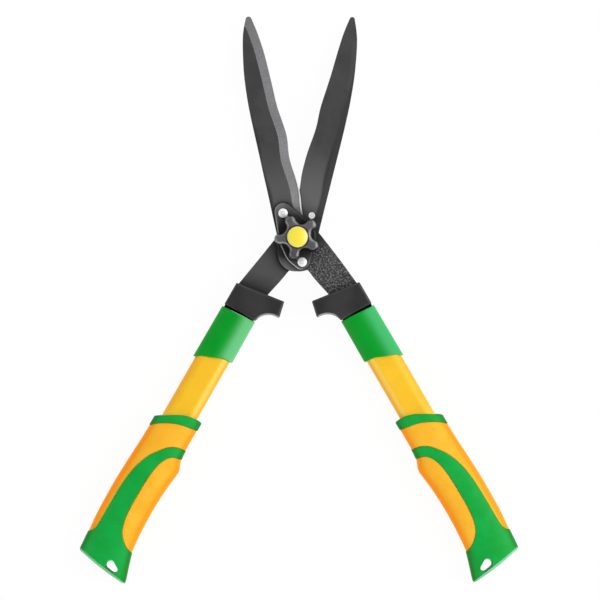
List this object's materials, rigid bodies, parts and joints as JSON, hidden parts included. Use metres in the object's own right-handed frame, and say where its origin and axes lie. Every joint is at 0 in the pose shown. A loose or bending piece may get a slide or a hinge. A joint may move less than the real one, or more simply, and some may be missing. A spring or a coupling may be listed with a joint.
{
  "type": "hedge shears",
  "caption": "Two-handed hedge shears with wavy blades, oval tube handles, moulded two-colour grips and a lobed tension knob at the pivot.",
  "frame": {"origin": "on the pivot axis, in the flat outer face of the pivot bolt's head at the back of the shears", "axes": "+X to the right, +Y towards the blade tips, +Z along the pivot axis from the bolt head towards the tension knob; the shears stand open at rest"},
  "size_m": [0.4398, 0.5678, 0.043],
  "materials": {
    "blade_steel": "black non-stick coating, bright ground edge",
    "plate_steel": "satin black coating",
    "rivet_steel": "zinc plated, bright",
    "spring_steel": "blued spring steel",
    "bush_bronze": "sintered, oiled",
    "insert_brass": "turned",
    "knob_black": "semi-gloss moulded plastic",
    "cap_yellow": "gloss",
    "collar_black": "fine-textured glass-filled plastic",
    "tube_yellow": "powder coated",
    "sleeve_green": "gloss",
    "grip_green": "satin",
    "pad_orange": "soft-touch rubber, matte"
  },
  "bodies": {
    "rear_arm": {"rear_blade": "blade_steel", "rear_plate": "plate_steel", "rear_plate_rivets": "rivet_steel", "pivot_bolt": "rivet_steel", "pivot_bush": "bush_bronze", "left_bumper": "collar_black", "left_tube": "tube_yellow", "left_sleeve": "sleeve_green", "left_tang_rivets": "rivet_steel", "left_grip_core": "grip_green", "left_grip_outer_pad": "pad_orange", "left_grip_palm_pad": "pad_orange"},
    "front_arm": {"front_blade": "blade_steel", "front_plate": "plate_steel", "front_plate_rivets": "rivet_steel", "disc_spring": "spring_steel", "right_bumper": "collar_black", "right_tube": "tube_yellow", "right_sleeve": "sleeve_green", "right_tang_rivets": "rivet_steel", "right_grip_core": "grip_green", "right_grip_outer_pad": "pad_orange", "right_grip_palm_pad": "pad_orange"},
    "washer_carrier": {"thrust_washer": "rivet_steel"},
    "knob_assembly": {"knob": "knob_black", "knob_insert": "insert_brass", "knob_cap": "cap_yellow"}
  },
  "joints": [
    {"name": "blade_pivot", "type": "hinge", "parent": "rear_arm", "child": "front_arm", "pos_m": [0, 0, 0.01105], "axis": [0, 0, 1], "range_deg": [-24, 60]},
    {"name": "washer_lift", "type": "slide", "parent": "rear_arm", "child": "washer_carrier", "axis": [0, 0, 1], "range_m": [0, 0.0025]},
    {"name": "knob_turn", "type": "hinge", "parent": "washer_carrier", "child": "knob_assembly", "pos_m": [0, 0, 0.02805], "axis": [0, 0, 1], "range_deg": [0, 720]}
  ],
  "couplings": [
    {"joint": "knob_turn", "follows": "washer_lift", "rad_per_m": 5026.5}
  ]
}
